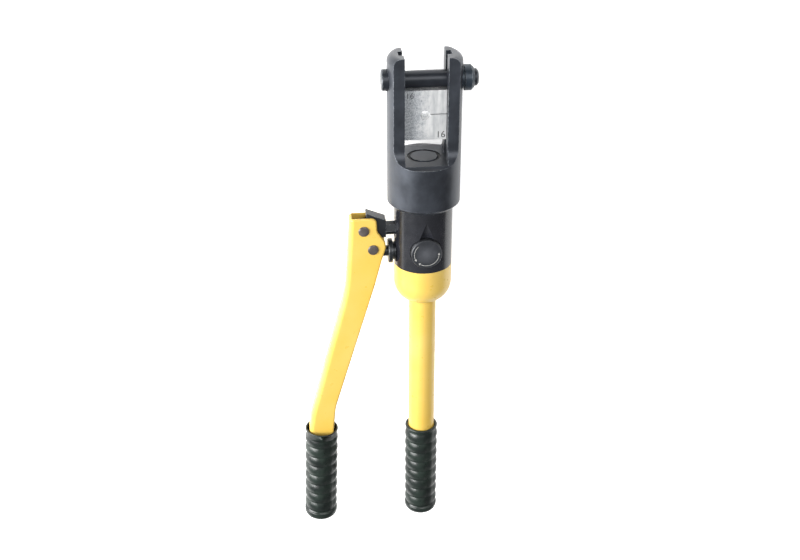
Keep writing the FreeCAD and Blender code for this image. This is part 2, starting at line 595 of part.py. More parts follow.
def make_valves():
    # the suction ball lifts towards the chamber, so its drilled seat screw is below it
    spring_low = "(%s - valveGap - suctionSpring)" % SUCTION_SEAT
    ball = "(%s - 1.5 * valveGap - checkBall)" % spring_low
    make_check_valve("suction_check", ball,
                     (NOZZLE_END + " + overrun", "(%s - checkBall + ballSink)" % ball),
                     (spring_low, "(%s - valveGap)" % SUCTION_SEAT), "suctionTurns")
    # the delivery ball sits on the bore's own seat, under its spring and screw
    screw_low = "(%s - valveGap - checkScrew)" % BORE_FLOOR
    make_check_valve("delivery_check", DELIVERY_SEAT + " + checkBall - ballSink",
                     (screw_low, "(%s - valveGap)" % BORE_FLOOR),
                     ("(%s + 2 * checkBall)" % DELIVERY_SEAT, screw_low + " - valveGap"),
                     "checkTurns")
    at = ("reliefOffset", "0")
    spring_low = "(%s - reliefSpring)" % RELIEF_SEAT
    sphere("relief_ball", "reliefBall", "reliefOffset",
           RELIEF_SEAT + " - reliefBall + reliefSink", "0")
    coil("relief_spring", "reliefCoil", "reliefWire", spring_low,
         "(%s - 2 * reliefBall)" % RELIEF_SEAT, "reliefTurns", at)
    tube("relief_screw", "Y", "reliefDrill", "reliefBore",
         spring_low + " - valveGap - reliefScrew", spring_low + " - valveGap", at)


def make_fulcrum():
    body = body_named("fulcrum_stud")
    turned(body, "X", rectangle("0", "studThread", "0 - bracketFace - studTang",
                                "0 - %s + studDepth" % SPOT), (STUD_Y, "0"))
    hexagon = [("%s + studAcross / 2 * cos(%d - studTurn)" % (STUD_Y, 60 * i),
                "studAcross / 2 * sin(%d - studTurn)" % (60 * i)) for i in range(6)]
    padded(body, "YZ_Plane", hexagon, "bracketFace - " + SPOT,
           "0 - (bracketFace + %s) / 2" % SPOT)
    body = body_named("fulcrum_bracket")
    px, py = "(0 - pivotX)", "(0 - pivotY)"
    outline = [
        ("0 - bracketFace", py + " - tabLow"), ("0 - bracketFace", py + " + tabHigh"),
        (px + " + hornX", py + " + hornY"), (px + " + throatX", py + " + throatY"),
        (px + " - cheekX", py + " + cheekHigh"), (px + " - cheekX", py + " - cheekLow"),
        (px, py + " - bossRadius")]
    padded(body, "XY_Plane", outline, "eyeThickness")
    turned(body, "Z", rectangle("0", "bossRadius", "0 - eyeThickness / 2",
                                "eyeThickness / 2"), (px, py))
    pocketed(body, "XY_Plane", [(px, py, "rivetRadius + rivetFit")])
    turned(body, "X", rectangle("0", "studThread", "0 - bracketFace - studTang - valveGap",
                                "0 - bracketFace + overrun"), (STUD_Y, "0"), cut=True)
    for corner in outline[1:3]:
        eased(body, "Fillet", "tabRound", upright_edge(*corner))


def make_handle():
    """Pressed channel: web on the left, open towards the body and at the top."""
    body = body_named("handle_channel")
    top = "(0 - pivotY + channelTop)"
    lug_x, lug_y = "(0 - linkX + lugX)", "(0 - linkY)"
    end = "0 - movingEnd + gripFloor"
    left = [("0 - tangLeft - gripLean", end), ("0 - tangLeft", "0 - movingMouth + tangRise"),
            ("0 - tangLeft + webWristX", "0 - movingMouth + webWristY"),
            ("0 - webKneeX", "0 - webKneeY"), ("0 - pivotX - webTop", top)]
    right = [("0 - pivotX + lipX", top), ("0 - pivotX + lipLowX", "0 - pivotY - lipLowY"),
             (lug_x + " - lugShoulder", lug_y + " + lugHigh"),
             (lug_x, lug_y + " + lugShoulder"), (lug_x + " - lugBack", lug_y + " - lugLow"),
             ("0 - openKneeX", "0 - openKneeY"), ("0 - openBendX", "0 - openBendY"),
             ("0 - openWristX", "0 - openWristY"),
             ("0 - tangRight", "0 - movingMouth - overrun"), ("0 - tangRight - gripLean", end)]
    padded(body, "XY_Plane", left + right, "channelDepth")
    for corner, radius in ((left[3], "webBend"),
                           (right[0], "cornerRound"), (right[1], "cheekRound"),
                           (right[2], "cornerRound"), (right[3], "cornerRound"),
                           (right[6], "wristBend")):
        eased(body, "Fillet", radius, upright_edge(*corner))
    depth = size("channelDepth") / 2
    left_x, left_y = ([size(point[i]) for point in left] for i in (0, 1))

    def on_face(edge):
        """An edge in the front or back face that isn't one of its two ends."""
        box = edge.BoundBox
        flat = box.ZLength < NEAR and abs(abs(box.Center.z) - depth) < NEAR
        return flat and size(end) + NEAR < box.Center.y < size(top) - NEAR

    def past_web(edge):
        """How far the middle of an edge lies from the web's line at its height."""
        centre = edge.BoundBox.Center
        below = [i for i in range(len(left) - 1) if left_y[i] - NEAR <= centre.y]
        low = below[-1]
        share = (centre.y - left_y[low]) / (left_y[low + 1] - left_y[low])
        return centre.x - left_x[low] - share * (left_x[low + 1] - left_x[low])

    eased(body, "Fillet", "channelRound",
          lambda edge: on_face(edge) and abs(past_web(edge)) < size("sheetWall"))
    eased(body, "Fillet", "edgeRound",
          lambda edge: on_face(edge) and past_web(edge) > size("2 * channelRound"))
    inner = [("%s + sheetWall" % p[0], p[1]) for p in left]
    inner.insert(0, (inner[0][0], "0 - movingEnd"))
    inner[-1] = (inner[-1][0], top + " + overrun")
    opening = inner + [("0", top + " + overrun"), ("0", "0 - movingEnd")]
    pocketed(body, "XY_Plane", [opening], "channelDepth - 2 * sheetWall")
    pocketed(body, "XY_Plane", [("0 - pivotX", "0 - pivotY", "rivetRadius"),
                                ("0 - linkX", "0 - linkY", "rivetRadius")])
    half = "channelDepth / 2"
    for name, x_text, y_text in (("fulcrum_pin", "0 - pivotX", "0 - pivotY"),
                                 ("plunger_pin", "0 - linkX", "0 - linkY")):
        body = body_named(name)
        tail = "(0 - channelDepth / 2 - clipThickness)"
        turned(body, "Z", [
            ("0", tail + " - tailLength"), ("rivetRadius - rivetRim", tail + " - tailLength"),
            ("rivetRadius", tail + " - tailLength + rivetRim"), ("rivetRadius", half),
            ("rivetHead", half), ("rivetHead", half + " + rivetRim"),
            ("rivetHead - rivetSlope", half + " + rivetDome - rivetCrown"),
            ("0", half + " + rivetDome")], (x_text, y_text))
        tube(name + "_clip", "Z", "rivetRadius", "clipRadius", tail, "0 - " + half,
             (x_text, y_text))


def make_grip(label, at_x, radius, mouth, end, bore_points, turn="0"):
    """Moulded rubber sleeve with a rolled lip and a rounded blind end.

    The sleeve's axis crosses Y = 0 at at_x and is turned about that place.
    """
    body = body_named(label)
    turned(body, "Y", [
        ("0", "0 - " + end), (radius + " - gripNose", "0 - " + end, "gripNose", -1),
        (radius, "0 - %s + gripNose" % end), (radius, "0 - %s - gripLip" % mouth),
        (radius + " - gripLip", "0 - " + mouth), ("0", "0 - " + mouth)], (at_x, "0"), turn=turn)
    if bore_points:
        turned(body, "Y", bore_points, (at_x, "0"), cut=True)
    else:
        pocketed(body, "XY_Plane", [[
            ("0 - tangLeft - gripLean", "0 - movingEnd + gripFloor"),
            ("0 - tangLeft", "0 - movingMouth + tangRise"),
            ("0 - tangRight + overrun", "0 - movingMouth + tangRise"),
            ("0 - tangRight", "0 - movingMouth - overrun"),
            ("0 - tangRight - gripLean", "0 - movingEnd + gripFloor")]], "channelDepth")


def make_handle_tube():
    body = body_named("handle_shoulder")
    socket = "boreRadius + threadFit"
    tube_top = SPIGOT_END + " - tubeStop"
    turned(body, "Y", [
        (socket, BODY_BOTTOM), ("bodyRadius", BODY_BOTTOM),
        ("bodyRadius", SHOULDER_TURN, "shoulderArc", 1), ("tubeRadius", SHOULDER_END),
        ("tubeRadius", tube_top), ("boreRadius - collarStep", SPIGOT_END + " - collarDrop"),
        ("boreRadius - collarStep", SPIGOT_END + " - spigotGap"),
        (socket, SPIGOT_END + " - spigotGap")])
    tube("handle_tube", "Y", "tubeRadius - tubeWall", "tubeRadius", "0 - tubeEnd", tube_top)
    tube("tube_plug", "Y", "0", "tubeRadius - tubeWall", "0 - tubeEnd + overrun",
         "0 - tubeEnd + overrun + plugLength")
    make_grip("fixed_grip", "0", "gripRadius", "gripMouth", "gripEnd",
              rectangle("0", "tubeRadius", "0 - tubeEnd", "0 - gripMouth + overrun"))
    make_grip("moving_grip", "0 - movingGripX", "movingGripRadius", "movingMouth", "movingEnd",
              None, "0 - gripTilt")
    body = body_named("oil_bag")
    inner, outer, floor = "nozzleRadius", "bagRadius", "0 - bagEnd + 2 * (bagRadius - nozzleRadius)"
    bag_top = SPIGOT_END + " - bagStop"
    turned(body, "Y", [(inner, bag_top), (outer, bag_top), (outer, "0 - bagEnd"),
                       ("0", "0 - bagEnd"), ("0", floor), (inner, floor)])
    clip_top = SPIGOT_END + " - clipDrop"
    tube("bag_clip", "Y", outer, outer + " + clipWall", clip_top + " - clipWidth", clip_top)
    at = ("checkOffset", "0")
    filter_low = "(0 - bagEnd + filterLift)"
    tube("suction_tube", "Y", "suctionRadius - suctionWall", "suctionRadius",
         filter_low + " + filterLength", NOZZLE_END + " + suctionEntry", at)
    tube("suction_filter", "Y", "0", "filterRadius", filter_low, filter_low + " + filterLength", at)


def write_parts():
    document.recompute()
    failed = [o.Name for o in document.Objects if "Invalid" in o.State or "Error" in o.State]
    if failed:
        raise ValueError("failed objects: " + ", ".join(failed))
    pieces = [o for o in document.Objects
              if o.TypeId in ("PartDesign::Body", "Part::Sphere", "Part::Torus")]
    for piece in pieces:
        if piece.Shape.isNull() or not piece.Shape.isValid() or not piece.Shape.Solids:
            raise ValueError("no sound solid in " + piece.Label)
    os.makedirs("parts", exist_ok=True)
    for piece in pieces:
        piece.Shape.exportStep("parts/%s.step" % piece.Label)
    print("%d pieces written" % len(pieces))


make_fork_head()
make_die("upper_die", True)
make_die("lower_die", False)
make_lock_pin()
make_cylinder_body()
make_ram()
make_release_valve()
make_pump()
make_valves()
make_fulcrum()
make_handle()
make_handle_tube()
write_parts()
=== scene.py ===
"""Looks of a hand hydraulic crimping tool with a fork head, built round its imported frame.

The frame: +Y runs along the tool towards the head, +X is to the right and +Z is the
front with the release knob. The origin is the centre of the ram's face.
"""

import math

import bmesh
import bpy
from mathutils import Matrix, Vector


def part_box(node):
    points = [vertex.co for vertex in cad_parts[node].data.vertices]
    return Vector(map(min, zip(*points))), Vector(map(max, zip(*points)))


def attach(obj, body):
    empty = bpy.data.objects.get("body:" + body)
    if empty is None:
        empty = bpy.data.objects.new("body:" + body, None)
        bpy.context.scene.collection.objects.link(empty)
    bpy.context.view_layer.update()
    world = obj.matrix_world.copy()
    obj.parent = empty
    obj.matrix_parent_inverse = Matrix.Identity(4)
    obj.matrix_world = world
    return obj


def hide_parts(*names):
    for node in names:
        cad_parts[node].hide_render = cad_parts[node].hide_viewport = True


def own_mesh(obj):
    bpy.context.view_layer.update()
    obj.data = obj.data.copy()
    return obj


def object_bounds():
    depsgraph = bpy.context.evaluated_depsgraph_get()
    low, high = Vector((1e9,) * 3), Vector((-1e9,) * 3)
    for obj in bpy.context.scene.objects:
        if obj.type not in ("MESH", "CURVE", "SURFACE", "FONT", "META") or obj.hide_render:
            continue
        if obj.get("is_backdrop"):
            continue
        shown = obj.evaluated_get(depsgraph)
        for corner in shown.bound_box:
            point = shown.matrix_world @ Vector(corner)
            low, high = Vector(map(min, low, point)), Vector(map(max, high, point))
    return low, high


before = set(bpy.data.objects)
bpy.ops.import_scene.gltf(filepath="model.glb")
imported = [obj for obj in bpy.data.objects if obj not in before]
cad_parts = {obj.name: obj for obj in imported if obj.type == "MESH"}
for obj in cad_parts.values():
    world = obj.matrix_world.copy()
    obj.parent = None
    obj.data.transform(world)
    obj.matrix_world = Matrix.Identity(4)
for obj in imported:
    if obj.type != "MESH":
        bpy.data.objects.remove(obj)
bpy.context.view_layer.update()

bl_info = {
    "name": "Crimping Tool",
    "version": (1, 0, 0),
    "blender": (4, 5, 0),
    "location": "View3D > Sidebar > Crimping Tool",
    "description": "Grips, pivot pins, marks and finishes of a hydraulic crimping tool",
    "category": "Object",
}

MM = 0.001

# ribs: how blunt they are, what share of the skin's radius counts as outside, how wide the
# change to a smooth strip is in radians, and how much of a rib is left on that strip
RIB_BLUNTNESS = 0.85
OUTSIDE_SHARE = 0.97
LAND_BLEND = 0.42
LAND_SHARE = 0.25

# text size that makes a figure one unit tall
TEXT_PER_FIGURE = 1.4

# camera: lens and sensor in mm, the rest in metres
LENS, SENSOR = 54.0, 36.0
CAMERA_RIGHT = Vector((0.9945, 0.0, 0.1045))
CAMERA_UP = Vector((0.0497, 0.8796, -0.4730))
CAMERA_AIM = Vector((-0.0224, -0.1335, -0.0024))
CAMERA_DISTANCE = 1.197
LIGHTS_AIM = Vector((-0.03, -0.15, 0.0))
FILL_SHARE = 0.07
FLOOR_HALF = 30.0


# ---------------------------------------------------------------- colours and nodes

def linear(hex_code):
    """An sRGB hex value as linear RGBA."""
    channels = [int(hex_code[i:i + 2], 16) / 255 for i in (1, 3, 5)]
    return tuple(c / 12.92 if c <= 0.04045 else ((c + 0.055) / 1.055) ** 2.4
                 for c in channels) + (1.0,)


def add(tree, kind, inputs=None, **settings):
    """Add a node, set its properties, then fill or link its inputs by name or number."""
    made = tree.nodes.new(kind)
    for name, value in settings.items():
        setattr(made, name, value)
    for key, value in (inputs or {}).items():
        if isinstance(value, bpy.types.NodeSocket):
            tree.links.new(value, made.inputs[key])
        else:
            made.inputs[key].default_value = value
    return made


def start_material(name):
    """An empty node tree with a Principled shader, and the object's own coordinates."""
    material = bpy.data.materials.new(name)
    material.use_nodes = True
    tree = material.node_tree
    tree.nodes.clear()
    shader = add(tree, "ShaderNodeBsdfPrincipled")
    add(tree, "ShaderNodeOutputMaterial", {"Surface": shader.outputs["BSDF"]})
    place = add(tree, "ShaderNodeTexCoord").outputs["Object"]
    return material, tree, shader, place


def noise(tree, place, size, detail=3.0, roughness=0.5, stretch=(1, 1, 1)):
    """Noise whose blobs are about "size" metres across."""
    scaled = add(tree, "ShaderNodeMapping", {"Vector": place, "Scale": stretch})
    return add(tree, "ShaderNodeTexNoise", {
        "Vector": scaled.outputs[0], "Scale": 1 / size, "Detail": detail,
        "Roughness": roughness}).outputs["Fac"]


def spread(tree, value, low, high, to_low=0.0, to_high=1.0, smooth=False):
    """Stretch a value's range, clamped at both ends."""
    return add(tree, "ShaderNodeMapRange", {
        "Value": value, "From Min": low, "From Max": high, "To Min": to_low,
        "To Max": to_high}, interpolation_type="SMOOTHSTEP" if smooth else "LINEAR",
    ).outputs["Result"]


def blend_colours(tree, factor, first, second):
    """Mix two colours, or one colour socket with a colour."""
    mix = add(tree, "ShaderNodeMix", data_type="RGBA")
    sockets = {"Factor": mix.inputs[0], "A": mix.inputs[6], "B": mix.inputs[7]}
    for name, value in (("Factor", factor), ("A", first), ("B", second)):
        if isinstance(value, bpy.types.NodeSocket):
            tree.links.new(value, sockets[name])
        else:
            sockets[name].default_value = value
    return mix.outputs[2]


def arithmetic(tree, operation, *values):
    return add(tree, "ShaderNodeMath", dict(enumerate(values)),
               operation=operation).outputs[0]


def rubbed_edge_and_highlight_mask(tree, place, width):
    """Where a corner has been rubbed and where a painted edge highlight goes: near an edge, and
    broken up by fine noise.
    """
    rounded = add(tree, "ShaderNodeBevel", {"Radius": width}, samples=4).outputs["Normal"]
    flat = add(tree, "ShaderNodeNewGeometry").outputs["Normal"]
    agree = add(tree, "ShaderNodeVectorMath", {0: rounded, 1: flat},
                operation="DOT_PRODUCT").outputs["Value"]
    near = spread(tree, agree, 0.995, 0.90)
    return arithmetic(tree, "MULTIPLY", near, spread(tree, noise(tree, place, 3 * MM), 0.4, 0.62))


def bumped(tree, height, strength, distance, edge=None):
    """A bump from a height, on top of edges softened over a small radius."""
    inputs = {"Height": height, "Strength": strength, "Distance": distance}
    if edge:
        inputs["Normal"] = add(tree, "ShaderNodeBevel", {"Radius": edge},
                               samples=4).outputs["Normal"]
    return add(tree, "ShaderNodeBump", inputs).outputs["Normal"]


def rings(tree, place, axis, width, wobble=0.0):
    """Turning or milling rings about one of the three axes, a few tenths of a mm apart."""
    return add(tree, "ShaderNodeTexWave", {
        "Vector": place, "Scale": 1 / (20 * width / (2 * math.pi)), "Distortion": wobble,
        "Detail": 1.0, "Detail Scale": 2.0}, wave_type="RINGS",
        rings_direction=axis).outputs["Fac"]


def blackened_steel(name, light, dark, rough, sheen_metal, ring_axis="Y", ring_width=0.55 * MM,
                    centre=(0, 0, 0)):
    """Machined steel with a black oxide finish: satin slate, cutter rings, rubbed corners
    lightened towards bare steel, partly as painted edge highlights.
    """
    material, tree, shader, place = start_material(name)
    clouds = noise(tree, place, 22 * MM, 4.0, 0.6)
    grain = noise(tree, place, 0.9 * MM, 2.0, 0.7)
    colour = blend_colours(tree, spread(tree, clouds, 0.35, 0.65), linear(dark), linear(light))
    # corners are lightened towards bare steel: partly rubbed wear, partly a painted edge
    # highlight
    worn = rubbed_edge_and_highlight_mask(tree, place, 0.9 * MM)
    shader.inputs["Metallic"].default_value = sheen_metal
    tree.links.new(blend_colours(tree, arithmetic(tree, "MULTIPLY", worn, 0.8), colour,
                                 linear("#8f959c")), shader.inputs["Base Color"])
    tree.links.new(spread(tree, arithmetic(tree, "ADD", clouds, arithmetic(
        tree, "MULTIPLY", grain, 0.5)), 0.45, 1.05, rough - 0.07, rough + 0.09),
        shader.inputs["Roughness"])
    moved = add(tree, "ShaderNodeMapping", {"Vector": place, "Location": tuple(
        -c for c in centre)}).outputs[0]
    marks = rings(tree, moved, ring_axis, ring_width, 0.6)
    height = arithmetic(tree, "ADD", arithmetic(tree, "MULTIPLY", marks, 0.45), grain)
    tree.links.new(bumped(tree, height, 0.35, 0.03 * MM, 0.35 * MM), shader.inputs["Normal"])
    return material


def gloss_black():
    """Gloss black lacquer on the turned cylinder: deep black with long clean reflections."""
    material, tree, shader, place = start_material("gloss_black_lacquer")
    clouds = noise(tree, place, 30 * MM, 3.0)
    tree.links.new(blend_colours(tree, spread(tree, clouds, 0.35, 0.65), linear("#191a1e"),
                                 linear("#222328")), shader.inputs["Base Color"])
    tree.links.new(spread(tree, noise(tree, place, 6 * MM, 4.0, 0.6), 0.3, 0.7, 0.17, 0.27),
                   shader.inputs["Roughness"])
    # orange peel, about 1.6 mm across, drawn as strong as it needs to show
    peel = noise(tree, place, 1.6 * MM, 2.0)
    tree.links.new(bumped(tree, peel, 0.12, 0.05 * MM, 0.5 * MM), shader.inputs["Normal"])
    return material


def yellow_enamel():
    """Sprayed yellow stove enamel: warm, semi-gloss, with a faint orange peel and corners
    lightened as a painted edge highlight.
    """
    material, tree, shader, place = start_material("yellow_stove_enamel")
    clouds = noise(tree, place, 60 * MM, 3.0, 0.55)
    base = blend_colours(tree, spread(tree, clouds, 0.3, 0.7), linear("#d6b04a"),
                         linear("#d8b963"))
    # corners lightened to pale cream through this mask: a painted edge highlight
    worn = rubbed_edge_and_highlight_mask(tree, place, 0.5 * MM)
    # dust caught in the finish, 0.4 mm specks, sparse
    specks = spread(tree, noise(tree, place, 0.8 * MM, 1.0), 0.70, 0.76)
    dusty = blend_colours(tree, arithmetic(tree, "MULTIPLY", specks, 0.35), base,
                          linear("#b98a35"))
    tree.links.new(blend_colours(tree, arithmetic(tree, "MULTIPLY", worn, 0.18), dusty,
                                 linear("#fff0b0")), shader.inputs["Base Color"])
    tree.links.new(spread(tree, noise(tree, place, 9 * MM, 4.0, 0.6), 0.3, 0.7, 0.26, 0.38),
                   shader.inputs["Roughness"])
    peel = noise(tree, place, 1.8 * MM, 2.0)
    tree.links.new(bumped(tree, peel, 0.22, 0.06 * MM, 0.6 * MM), shader.inputs["Normal"])
    return material


def ground_steel():
    """Zinc-bright die steel: frosted and mottled on the left, ground bright on the right."""
    material, tree, shader, place = start_material("ground_die_steel")
    across = add(tree, "ShaderNodeSeparateXYZ", {0: place}).outputs["X"]
    blotches = noise(tree, place, 5 * MM, 5.0, 0.65)
    # frosting grows from none at the first place to full at the second, broken by blotches
    clear_x, frosted_x = 9 * MM, -16 * MM
    frosted = arithmetic(tree, "ADD", spread(tree, across, clear_x, frosted_x),
                         arithmetic(tree, "MULTIPLY", blotches, 1.3))
    frosted = spread(tree, frosted, 0.75, 1.5, smooth=True)
    speckle = noise(tree, place, 1.1 * MM, 3.0, 0.7)
    grey = blend_colours(tree, spread(tree, speckle, 0.38, 0.62), linear("#868b91"),
                         linear("#cdd0d3"))
    shader.inputs["Metallic"].default_value = 0.6
    # soft darker streaks where the wheel ran, up and down the bright side
    streaks = noise(tree, place, 9 * MM, 3.0, 0.55, (1.6, 0.35, 1))
    polished = blend_colours(tree, spread(tree, streaks, 0.35, 0.62), linear("#cfd1d2"),
                             linear("#f6f6f5"))
    tree.links.new(blend_colours(tree, frosted, polished, grey), shader.inputs["Base Color"])
    tree.links.new(spread(tree, arithmetic(tree, "ADD", frosted, arithmetic(
        tree, "MULTIPLY", speckle, 0.4)), 0.1, 1.3, 0.34, 0.62), shader.inputs["Roughness"])
    # grinding scratches run across the face, 0.25 mm apart
    scratch = noise(tree, place, 5 * MM, 3.0, 0.6, (0.6, 20, 20))
    height = arithmetic(tree, "ADD", scratch, arithmetic(
        tree, "MULTIPLY", arithmetic(tree, "MULTIPLY", speckle, frosted), 1.6))
    tree.links.new(bumped(tree, height, 0.4, 0.04 * MM, 0.3 * MM), shader.inputs["Normal"])
    return material


def grip_rubber():
    """Dip-moulded PVC rubber: dark green-black, satin, with a fine matt skin."""
    material, tree, shader, place = start_material("moulded_grip_rubber")
    clouds = noise(tree, place, 14 * MM, 4.0, 0.6)
    tree.links.new(blend_colours(tree, spread(tree, clouds, 0.35, 0.65), linear("#0e1513"),
                                 linear("#1d2822")), shader.inputs["Base Color"])
    tree.links.new(spread(tree, noise(tree, place, 3 * MM, 3.0), 0.3, 0.7, 0.27, 0.40),
                   shader.inputs["Roughness"])
    shader.inputs["Specular IOR Level"].default_value = 0.42
    # moulded skin, 0.5 mm grain
    skin = noise(tree, place, 0.5 * MM, 2.0, 0.6)
    tree.links.new(bumped(tree, skin, 0.25, 0.05 * MM), shader.inputs["Normal"])
    return material


def plain_finish(name, light, dark, metallic, rough, grain_size, ring_axis=None):
    """A cut or moulded finish for small inner parts: slight mottling, grain and lathe rings."""
    material, tree, shader, place = start_material(name)
    clouds = noise(tree, place, 6 * MM, 3.0)
    tree.links.new(blend_colours(tree, spread(tree, clouds, 0.35, 0.65), linear(dark),
                                 linear(light)), shader.inputs["Base Color"])
    shader.inputs["Metallic"].default_value = metallic
    tree.links.new(spread(tree, clouds, 0.3, 0.7, rough - 0.06, rough + 0.08),
                   shader.inputs["Roughness"])
    height = noise(tree, place, grain_size, 2.0, 0.6)
    if ring_axis:
        height = arithmetic(tree, "ADD", height, rings(tree, place, ring_axis, 0.4 * MM))
    tree.links.new(bumped(tree, height, 0.25, 0.03 * MM, 0.2 * MM), shader.inputs["Normal"])
    return material


def knob_face():
    """The release knob: blackened, faced on a lathe, a little lighter at its middle."""
    low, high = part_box("release_knob")
    centre = (low + high) / 2
    material, tree, shader, place = start_material("faced_blackened_knob")
    moved = add(tree, "ShaderNodeMapping", {"Vector": place,
                                            "Location": tuple(-centre)}).outputs[0]
    flat = add(tree, "ShaderNodeVectorMath", {0: moved, 1: (1, 1, 0)},
               operation="MULTIPLY").outputs["Vector"]
    from_middle = add(tree, "ShaderNodeVectorMath", {0: flat},
                      operation="LENGTH").outputs["Value"]
    mottled = noise(tree, place, 4 * MM, 4.0, 0.65)
    light = arithmetic(tree, "ADD", spread(tree, from_middle, 12 * MM, 0.0),
                       arithmetic(tree, "MULTIPLY", mottled, 0.6))
    shader.inputs["Metallic"].default_value = 0.35
    tree.links.new(blend_colours(tree, spread(tree, light, 0.3, 1.2), linear("#303236"),
                                 linear("#54565b")), shader.inputs["Base Color"])
    tree.links.new(spread(tree, mottled, 0.3, 0.7, 0.34, 0.5), shader.inputs["Roughness"])
    height = arithmetic(tree, "ADD", rings(tree, moved, "Z", 0.6 * MM, 0.4), mottled)
    tree.links.new(bumped(tree, height, 0.3, 0.03 * MM, 0.3 * MM), shader.inputs["Normal"])
    return material


def mark_paint(name, hex_code, rough):
    """Paint wiped into a stamped or engraved mark, thin and uneven."""
    material, tree, shader, place = start_material(name)
    worn = spread(tree, noise(tree, place, 0.7 * MM, 3.0, 0.7), 0.35, 0.6)
    tree.links.new(blend_colours(tree, worn, linear("#5d5e60"), linear(hex_code)),
                   shader.inputs["Base Color"])
    shader.inputs["Roughness"].default_value = rough
    tree.links.new(bumped(tree, worn, 0.3, 0.02 * MM), shader.inputs["Normal"])
    return material


def studio_paper(colour):
    """Pale matt paper under the tool, with a barely visible fibre."""
    material, tree, shader, place = start_material("studio_paper")
    fibre = noise(tree, place, 60 * MM, 2.0)
    shade = tuple(0.985 * c for c in colour[:3]) + (1.0,)
    tree.links.new(blend_colours(tree, fibre, shade, tuple(colour)),
                   shader.inputs["Base Color"])
    shader.inputs["Roughness"].default_value = 0.9
    # lit from below, as a light table is, so that shadows and bounced colour stay faint
    shader.inputs["Emission Color"].default_value = tuple(colour)
    shader.inputs["Emission Strength"].default_value = 0.55
    return material


# ---------------------------------------------------------------- meshes

def finished(name, mesh, body, material=None, replaced=()):
    """Put a finished mesh in the scene, on its body, standing for its CAD nodes."""
    if material:
        mesh.materials.clear()
        mesh.materials.append(material)
    piece = bpy.data.objects.new(name, mesh)
    bpy.context.scene.collection.objects.link(piece)
    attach(piece, body)
    if replaced:
        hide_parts(*replaced)
    return piece


def lathe(profile, steps):
    """Turn (radius, y) points round the Y axis, closed at radius zero."""
    shape = bmesh.new()
    loops = []
    for radius, y in profile:
        if radius < 1e-7:
            loops.append([shape.verts.new((0, y, 0))])
            continue
        turns = [2 * math.pi * i / steps for i in range(steps)]
        loops.append([shape.verts.new((radius * math.sin(t), y, radius * math.cos(t)))
                      for t in turns])
    for low, high in zip(loops, loops[1:]):
        for i in range(steps):
            corners = [low[i % len(low)], low[(i + 1) % len(low)],
                       high[(i + 1) % len(high)], high[i % len(high)]]
            shape.faces.new(list(dict.fromkeys(corners)))
    bmesh.ops.recalc_face_normals(shape, faces=shape.faces)
    mesh = bpy.data.meshes.new("lathe")
    shape.to_mesh(mesh)
    shape.free()
    mesh.shade_smooth()
    return mesh


def arc_points(centre, radius, start, stop, count):
    """Points of a quarter or other arc, in (radius, y); angles in degrees."""
    turns = [math.radians(start + (stop - start) * i / count) for i in range(count + 1)]
    return [(centre[0] + radius * math.cos(t), centre[1] + radius * math.sin(t)) for t in turns]


def evaluated_mesh(piece):
    """The mesh that an object's modifiers give, as plain data; the object goes."""
    graph = bpy.context.evaluated_depsgraph_get()
    mesh = bpy.data.meshes.new_from_object(piece.evaluated_get(graph), depsgraph=graph)
    bpy.data.objects.remove(piece)
    return mesh


def through_nodes(mesh, tree, values):
    """Run a mesh through a geometry tree whose named inputs take these values."""
    piece = bpy.data.objects.new(tree.name, mesh)
    bpy.context.scene.collection.objects.link(piece)
    modifier = piece.modifiers.new(tree.name, "NODES")
    modifier.node_group = tree
    for socket in tree.interface.items_tree:
        if socket.item_type == "SOCKET" and socket.in_out == "INPUT" and socket.name in values:
            modifier[socket.identifier] = values[socket.name]
    return evaluated_mesh(piece)


def new_tree(name, sockets):
    """A geometry tree with a geometry input and output and these named inputs."""
    tree = bpy.data.node_groups.new(name, "GeometryNodeTree")
    tree.interface.new_socket("Geometry", in_out="INPUT", socket_type="NodeSocketGeometry")
    tree.interface.new_socket("Geometry", in_out="OUTPUT", socket_type="NodeSocketGeometry")
    for label, kind in sockets:
        tree.interface.new_socket(label, in_out="INPUT", socket_type="NodeSocket" + kind)
    return tree, add(tree, "NodeGroupInput"), add(tree, "NodeGroupOutput")


def end_tree(tree, output, geometry, material):
    """Realize Instances and Set Material, then the group's output."""
    real = add(tree, "GeometryNodeRealizeInstances", {"Geometry": geometry})
    painted = add(tree, "GeometryNodeSetMaterial", {"Geometry": real.outputs[0],
                                                    "Material": material})
    tree.links.new(painted.outputs[0], output.inputs["Geometry"])


